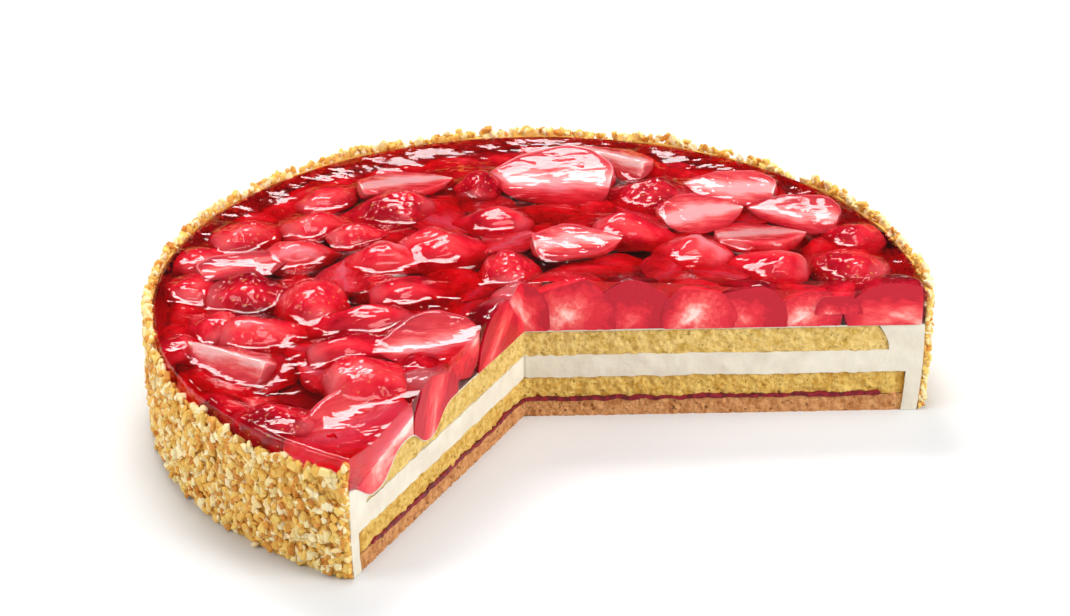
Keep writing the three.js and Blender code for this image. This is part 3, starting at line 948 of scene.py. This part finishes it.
def sunkPlaces():
    draw = random.Random(5)
    taken = [(spec["at"], 0.42 * sum(spec["size"]) / 2) for spec in strawberryPlaces]
    found = []
    poolX, poolY = sunken["pool"]
    for _ in range(sunken["tries"]):
        if len(found) == sunken["inGaps"]:
            break
        radius = sunken["within"] * sqrt(draw.random())
        angle = rightCut + sweep * draw.random()
        x, y = outTo(radius, angle)
        offset = fromTip(x * mm, y * mm)
        if offset.dot(rightOut) > -6 * mm and offset.dot(leftOut) > -6 * mm:
            continue
        near = min(hypot(x - at[0], y - at[1]) - reach for at, reach in taken)
        if near < sunken["apart"] or hypot(x - poolX, y - poolY) < sunken["poolRadius"]:
            continue
        size = (24 + 8 * draw.random(), 17 + 6 * draw.random())
        depth = 5.2 + 2.4 * draw.random()
        top = berryTopAt(radius * mm) / mm - depth
        found.append(dict(at=(x, y), size=size, heading=360 * draw.random(), form="half",
                          roll=draw.choice((0, 12, -14, 172, 180, 188)), top=top))
        taken.append(((x, y), 0.32 * sum(size) / 2))
    found.append(dict(at=(-39, -54), size=(24, 15), heading=-112, form="whole", tone=0.3, top=44.6))
    for index in range(sunken["underRim"]):
        angle = rightCut + sweep * (index + 0.5 + 0.3 * draw.random()) / sunken["underRim"]
        radius = sunken["rimRadius"] + 3 * draw.random()
        x, y = outTo(radius, angle)
        size = (24 + 7 * draw.random(), 19 + 5 * draw.random())
        if min(angle - rightCut, leftCut - angle) < radians(9):
            continue
        top = jellyLevelAt(x * mm, y * mm) / mm - 0.9 - 1.3 * draw.random()
        heading = math.degrees(angle) + 90 + draw.gauss(0, 18)
        found.append(dict(at=(x, y), size=size, heading=heading, form="half",
                          roll=draw.choice((10, 172, 180, 188)) + draw.gauss(0, 6), top=top))
    return found


# Red jelly: one clear body, draped over the strawberries

jelly = {
    "film": 0.55 * mm,
    "raster": 0.6 * mm,
    "columns": 80, "rows": 4, "steps": 280,
    "softness": 4.2, "fineness": 1.1,     # raster cells
    "absorb": (0.94, 0.10, 0.34), "density": 320.0,
}


def blurField(field, mask, radius):
    size = int(math.ceil(radius * 3))
    kernel = np.exp(-0.5 * (np.arange(-size, size + 1) / radius) ** 2)
    kernel /= kernel.sum()

    def blurAlong(values, axis):
        padded = np.pad(values, [(size, size) if a == axis else (0, 0) for a in (0, 1)], mode="edge")
        total = np.zeros_like(values)
        for i, weight in enumerate(kernel):
            shifted = padded[i:i + values.shape[0], :] if axis == 0 else padded[:, i:i + values.shape[1]]
            total += weight * shifted
        return total

    spread = blurAlong(blurAlong(field * mask, 0), 1)
    return spread / np.maximum(blurAlong(blurAlong(mask, 0), 1), 1e-6)


def drapeField(laid):  # height of the jelly's surface over the round, as a fine raster
    step = jelly["raster"]
    count = int(2 * (tart["side"] + 3 * mm) / step)
    ticks = (np.arange(count) - (count - 1) / 2) * step
    level = np.zeros((count, count))
    fruit = np.full((count, count), -1.0)
    seedy = np.zeros((count, count))
    mask = np.zeros((count, count))
    points, faces, owners = [], [], []
    for piece in laid:
        start = len(points)
        points.extend(v.co.copy() for v in piece.data.vertices)
        faces.extend(tuple(start + i for i in p.vertices) for p in piece.data.polygons)
        owners += [piece.data.attributes["seedy"].data[0].value] * len(piece.data.polygons)
    tree = BVHTree.FromPolygons(points, faces)
    down = Vector((0, 0, -1))
    for i, x in enumerate(ticks):
        for j, y in enumerate(ticks):
            if hypot(x, y) > tart["side"] + 1 * mm:
                continue
            offset = fromTip(x, y)
            if offset.dot(rightOut) > 0 and offset.dot(leftOut) > 0:
                continue
            mask[i, j] = 1
            level[i, j] = jellyLevelAt(x, y)
            hit, _, index, _ = tree.ray_cast(Vector((x, y, 0.08)), down)
            if hit is not None:
                fruit[i, j] = hit.z + jelly["film"]
                seedy[i, j] = owners[index] if fruit[i, j] > level[i, j] else 0
    joined = np.maximum(level, fruit)
    soft = blurField(joined, mask, jelly["softness"])
    shown = (fruit > level).astype(float) * mask
    fine = blurField(np.where(shown > 0, fruit, soft), mask, jelly["fineness"])
    draped = np.where(shown > 0, np.maximum(soft, fine), np.maximum(soft, fine - 0.1 * mm))
    return ticks, draped, mask, blurField(seedy, mask, 1.2)


def readField(ticks, field, x, y):
    step = ticks[1] - ticks[0]
    column = min(max((x - ticks[0]) / step, 0), len(ticks) - 1.001)
    row = min(max((y - ticks[0]) / step, 0), len(ticks) - 1.001)
    i, j = int(column), int(row)
    fx, fy = column - i, row - j
    return ((1 - fx) * (1 - fy) * field[i, j] + fx * (1 - fy) * field[i + 1, j]
            + (1 - fx) * fy * field[i, j + 1] + fx * fy * field[i + 1, j + 1])


def plainUnderside(piece):  # one plain face under the jelly, where nothing is seen
    makeActive(piece)
    deleteFaces(piece, lambda face: face.normal.z < -0.7)
    bpy.ops.mesh.select_all(action="DESELECT")
    bpy.ops.mesh.select_non_manifold(extend=False, use_wire=True, use_boundary=True, use_multi_face=False,
                                     use_non_contiguous=False, use_verts=False)
    bpy.ops.mesh.edge_face_add()
    bpy.ops.mesh.quads_convert_to_tris(ngon_method="BEAUTY")
    bpy.ops.mesh.select_all(action="SELECT")
    bpy.ops.mesh.normals_make_consistent(inside=False)
    endEdit()


def pourJelly(laid):
    ticks, field, mask, seedy = drapeField(laid)
    filled = blurField(field, mask, 3.0)
    field = np.where(mask > 0, field, filled)
    piece = spinSheet("jelly", jelly["columns"], jelly["rows"], jelly["steps"], finer=True)

    def top(x, y):
        radius = hypot(x, y)
        rounded = 1.0 * mm * smoothStep(radius, tart["side"] - 1.2 * mm, tart["side"]) ** 2
        return min(readField(ticks, field, x, y), cadBounds[1][2] - 0.1 * mm) - rounded

    shapeLayer(piece, lambda height: tart["side"] - 0.5 * mm * (1 - height) ** 2,
               lambda x, y: seatAt(x, y) - 0.3 * mm, top, smoothRelief(0.1 * mm, 160), 0.1 * mm)
    plainUnderside(piece)
    bpy.ops.object.shade_smooth_by_angle(angle=radians(50))
    dimpled = [readField(ticks, seedy, x, y) for x, y, _ in readPoints(piece)]
    storeValues(piece.data, "dimpled", dimpled)
    finish, tree, shader = startFinish("redJelly", 0.03)
    shader.inputs["Base Color"].default_value = (1, 1, 1, 1)
    shader.inputs["Transmission Weight"].default_value = 1.0
    shader.inputs["IOR"].default_value = 1.36
    absorb = tree.nodes.new("ShaderNodeVolumeAbsorption")
    absorb.inputs["Color"].default_value = (*jelly["absorb"], 1)
    absorb.inputs["Density"].default_value = jelly["density"]
    tree.links.new(absorb.outputs["Volume"], tree.nodes["Material Output"].inputs["Volume"])
    place = objectPlace(tree)
    wide = stretch(tree, place, (0.55, 1.0, 1.0))
    ripples = plus(tree, grain(tree, wide, 110.0, 1.0), times(tree, grain(tree, wide, 330.0, 1.0), 0.25))
    dents = ramp(tree, cells(tree, place, 310.0), (0.1, black), (0.5, white))
    dents = times(tree, times(tree, dents, 0.48), readLayer(tree, "dimpled", "Fac"))
    ripples = plus(tree, ripples, dents)
    bump(tree, shader, ripples, 0.0016, 0.8)
    piece.data.materials.append(finish)
    seatOnTart(piece, "jelly", "jelly")


# Chopped nuts: a few chip shapes, copied all round the side

nuts = {
    "count": 7600, "edgeCount": 520, "endCount": 420, "shapes": 9,
    "top": 42.4, "frontDrop": 6.4, "dropFrom": 186, "dropFull": 206,  # millimetres and degrees
    "lowest": 0.15 * mm, "pastCut": 0.75 * mm,
    "length": (2.4 * mm, 4.2 * mm),
    "kinds": (("nutsPale", 0.36, "fce8b8", "f2d288"), ("nutsGolden", 0.46, "f4ca6e", "e4aa46"),
              ("nutsToasted", 0.18, "e09c40", "c47a26")),
}


def nutTopAt(angle):  # the jelly's side shows above the nuts at the front left
    degrees = math.degrees(angle) % 360
    lower = smoothStep(degrees, nuts["dropFrom"], nuts["dropFull"])
    ragged = 0.9 * sin(angle * 17) * sin(angle * 5 + 1)
    return (nuts["top"] - nuts["frontDrop"] * lower + ragged) * mm


def shapeChip(seed):  # one chopped chip: a block with its corners pulled about
    draw = random.Random(seed)
    deselectAll()
    if seed % 3 == 0:
        bpy.ops.mesh.primitive_cube_add(size=0.9)
    else:
        bpy.ops.mesh.primitive_ico_sphere_add(subdivisions=1, radius=0.56)
    chip = bpy.context.object
    points = readPoints(chip)
    for point in points:
        for axis in range(3):
            point[axis] *= 0.7 + 0.6 * draw.random()
    points[:, 1] *= 0.74
    points[:, 2] *= 0.5
    writePoints(chip, points)
    editAll(chip)
    if seed % 3 == 0:
        bpy.ops.mesh.bevel(offset=0.1, segments=1, affect="EDGES")
        bpy.ops.mesh.select_all(action="SELECT")
    bpy.ops.mesh.quads_convert_to_tris()
    bpy.ops.mesh.normals_make_consistent(inside=False)
    endEdit()
    shape = readPoints(chip)
    faces = np.array([list(p.vertices) for p in chip.data.polygons])
    bpy.data.objects.remove(chip)
    return shape, faces


def chipPlaces():
    draw = random.Random(3)
    places = []
    for _ in range(nuts["count"]):
        angle = rightCut + sweep * draw.random()
        top = nutTopAt(angle) + 1.4 * mm * (draw.random() - 0.3)
        height = 1.2 * mm + (top - 1.2 * mm) * draw.random()
        reach = sideAt(height) + (0.7 + 2.0 * draw.random() ** 1.4) * mm
        places.append((angle, height, reach))
    for _ in range(nuts["edgeCount"]):  # the ragged upper edge
        angle = rightCut + sweep * draw.random()
        height = nutTopAt(angle) + (1.9 * draw.random() ** 2 - 0.2) * mm
        places.append((angle, height, sideAt(height) + (0.9 + 1.4 * draw.random()) * mm))
    for index in range(nuts["endCount"]):  # and the two ends
        height = 1.0 * mm + (nutTopAt(0) - 2.0 * mm) * draw.random()
        inward = (0.5 + 2.6 * draw.random()) * mm / tart["side"]
        angle = rightCut - 0.05 + inward if index % 2 else leftCut - inward
        places.append((angle, height, sideAt(height) + (0.5 + 1.4 * draw.random()) * mm))
    return places


def pressNuts():
    draw = random.Random(19)
    shapes = [shapeChip(seed) for seed in range(nuts["shapes"])]
    kinds = [dict(points=[], faces=[], tones=[], count=0) for _ in nuts["kinds"]]
    shares = [kind[1] for kind in nuts["kinds"]]
    for angle, height, reach in chipPlaces():
        kind = kinds[draw.choices(range(3), shares)[0]]
        shape, faces = shapes[draw.randrange(len(shapes))]
        length = nuts["length"][0] + (nuts["length"][1] - nuts["length"][0]) * draw.random() ** 1.5
        lean = draw.gauss(0, 0.45)
        pitch = draw.gauss(0, 0.45)
        spin = draw.random() * 2 * pi
        turn = (Matrix.Rotation(angle, 3, "Z") @ Matrix.Rotation(pi / 2 + lean, 3, "Y")
                @ Matrix.Rotation(pitch, 3, "X") @ Matrix.Rotation(spin, 3, "Z"))
        placed = (shape * length) @ np.array(turn).T
        placed += (*outTo(reach, angle), height)
        over = np.hypot(placed[:, 0], placed[:, 1]).max() - (cadBounds[1][0] - 0.05 * mm)
        if over > 0:
            placed -= (*outTo(over, angle), 0)
        low = placed[:, 2].min()
        if low < nuts["lowest"]:
            placed[:, 2] += nuts["lowest"] - low
        offset = placed - (tipX, tipY, 0)
        if angle - rightCut < 0.2 and (offset @ np.array(rightOut)).max() > nuts["pastCut"]:
            continue
        if leftCut - angle < 0.2 and (offset @ np.array(leftOut)).max() > nuts["pastCut"]:
            continue
        kind["faces"].append(faces + kind["count"])
        kind["points"].append(placed)
        kind["tones"].append(np.full(len(placed), draw.random()))
        kind["count"] += len(placed)
    for (name, _, light, dark), kind in zip(nuts["kinds"], kinds):
        points = np.concatenate(kind["points"])
        faces = np.concatenate(kind["faces"])
        mesh = bpy.data.meshes.new(name)
        mesh.from_pydata(points.tolist(), [], faces.tolist())
        storeValues(mesh, "tone", np.concatenate(kind["tones"]))
        piece = bpy.data.objects.new(name, mesh)
        addToScene(piece)
        mesh.materials.append(nutFinish(name + "Finish", light, dark))
        seatOnTart(piece, "nuts", "nut_coat")


def groundNuts():  # fine crumbs that fill the spaces between the chips: a thin uneven ring
    ring = spinSheet("nutsGround", 2, 14, 260, lambda across, height: across > 0.5)
    points = readPoints(ring)
    angles, shares = spunPlaces(points)
    shaped = np.empty_like(points)
    for i, (angle, share, level) in enumerate(zip(angles, shares, points[:, 2])):
        direction = rightCut + angle
        x, y = tipTo(reachTo(direction, tart["side"]), direction)
        around = math.atan2(y, x)
        height = 0.3 * mm + level * (nutTopAt(around) - 0.9 * mm)
        rough = noise.noise(Vector((x, y, height)) * 700)
        thick = (1.0 + 0.6 * rough) * mm if share > 0.75 else 0.1 * mm
        toCut = min(angle, sweep - angle) / radians(1.2)
        radius = sideAt(height) + 0.1 * mm + (thick - 0.1 * mm) * min(1.0, toCut)
        shaped[i] = (*outTo(radius, around), height)
    writePoints(ring, shaped)
    faceOutward(ring)
    storeValues(ring.data, "tone", np.full(len(points), 0.5))
    _, _, light, dark = nuts["kinds"][1]
    ring.data.materials.append(nutFinish("nutsGroundFinish", light, dark))
    seatOnTart(ring, "nuts", "nut_coat")


def nutFinish(name, light, dark):
    finish, tree, shader = startFinish(name, 0.55, 0.35)
    place = objectPlace(tree)
    mixed = plus(tree, times(tree, readLayer(tree, "tone", "Fac"), 0.6),
                 times(tree, grain(tree, place, 350.0), 0.4))
    body = ramp(tree, mixed, (0.15, dark), (0.8, light))
    paint(tree, shader, body)
    letLightIn(shader, 0.2, (0.003, 0.0015, 0.0005))
    bump(tree, shader, grain(tree, place, 1200.0, 3.0), 0.0002, 0.4)
    return finish


# Making the tart

placeCamera()
lightStudio()
layFloor()
tell("camera, light and floor placed")
bakeShortcrust()
spreadJam()
bakeSponges()
tell("shortcrust, jam and sponges baked")
whipCream()
tell("cream spread")
gapBlock = makeGapBlock()
finishes = {"skin": skinFinish(), "flesh": fleshFinish()}
laidBerries = layStrawberries()
tell("strawberries laid")
pourJelly(laidBerries)
tell("jelly poured")
bpy.data.objects.remove(gapBlock)
groundNuts()
pressNuts()
tell("nuts pressed on")
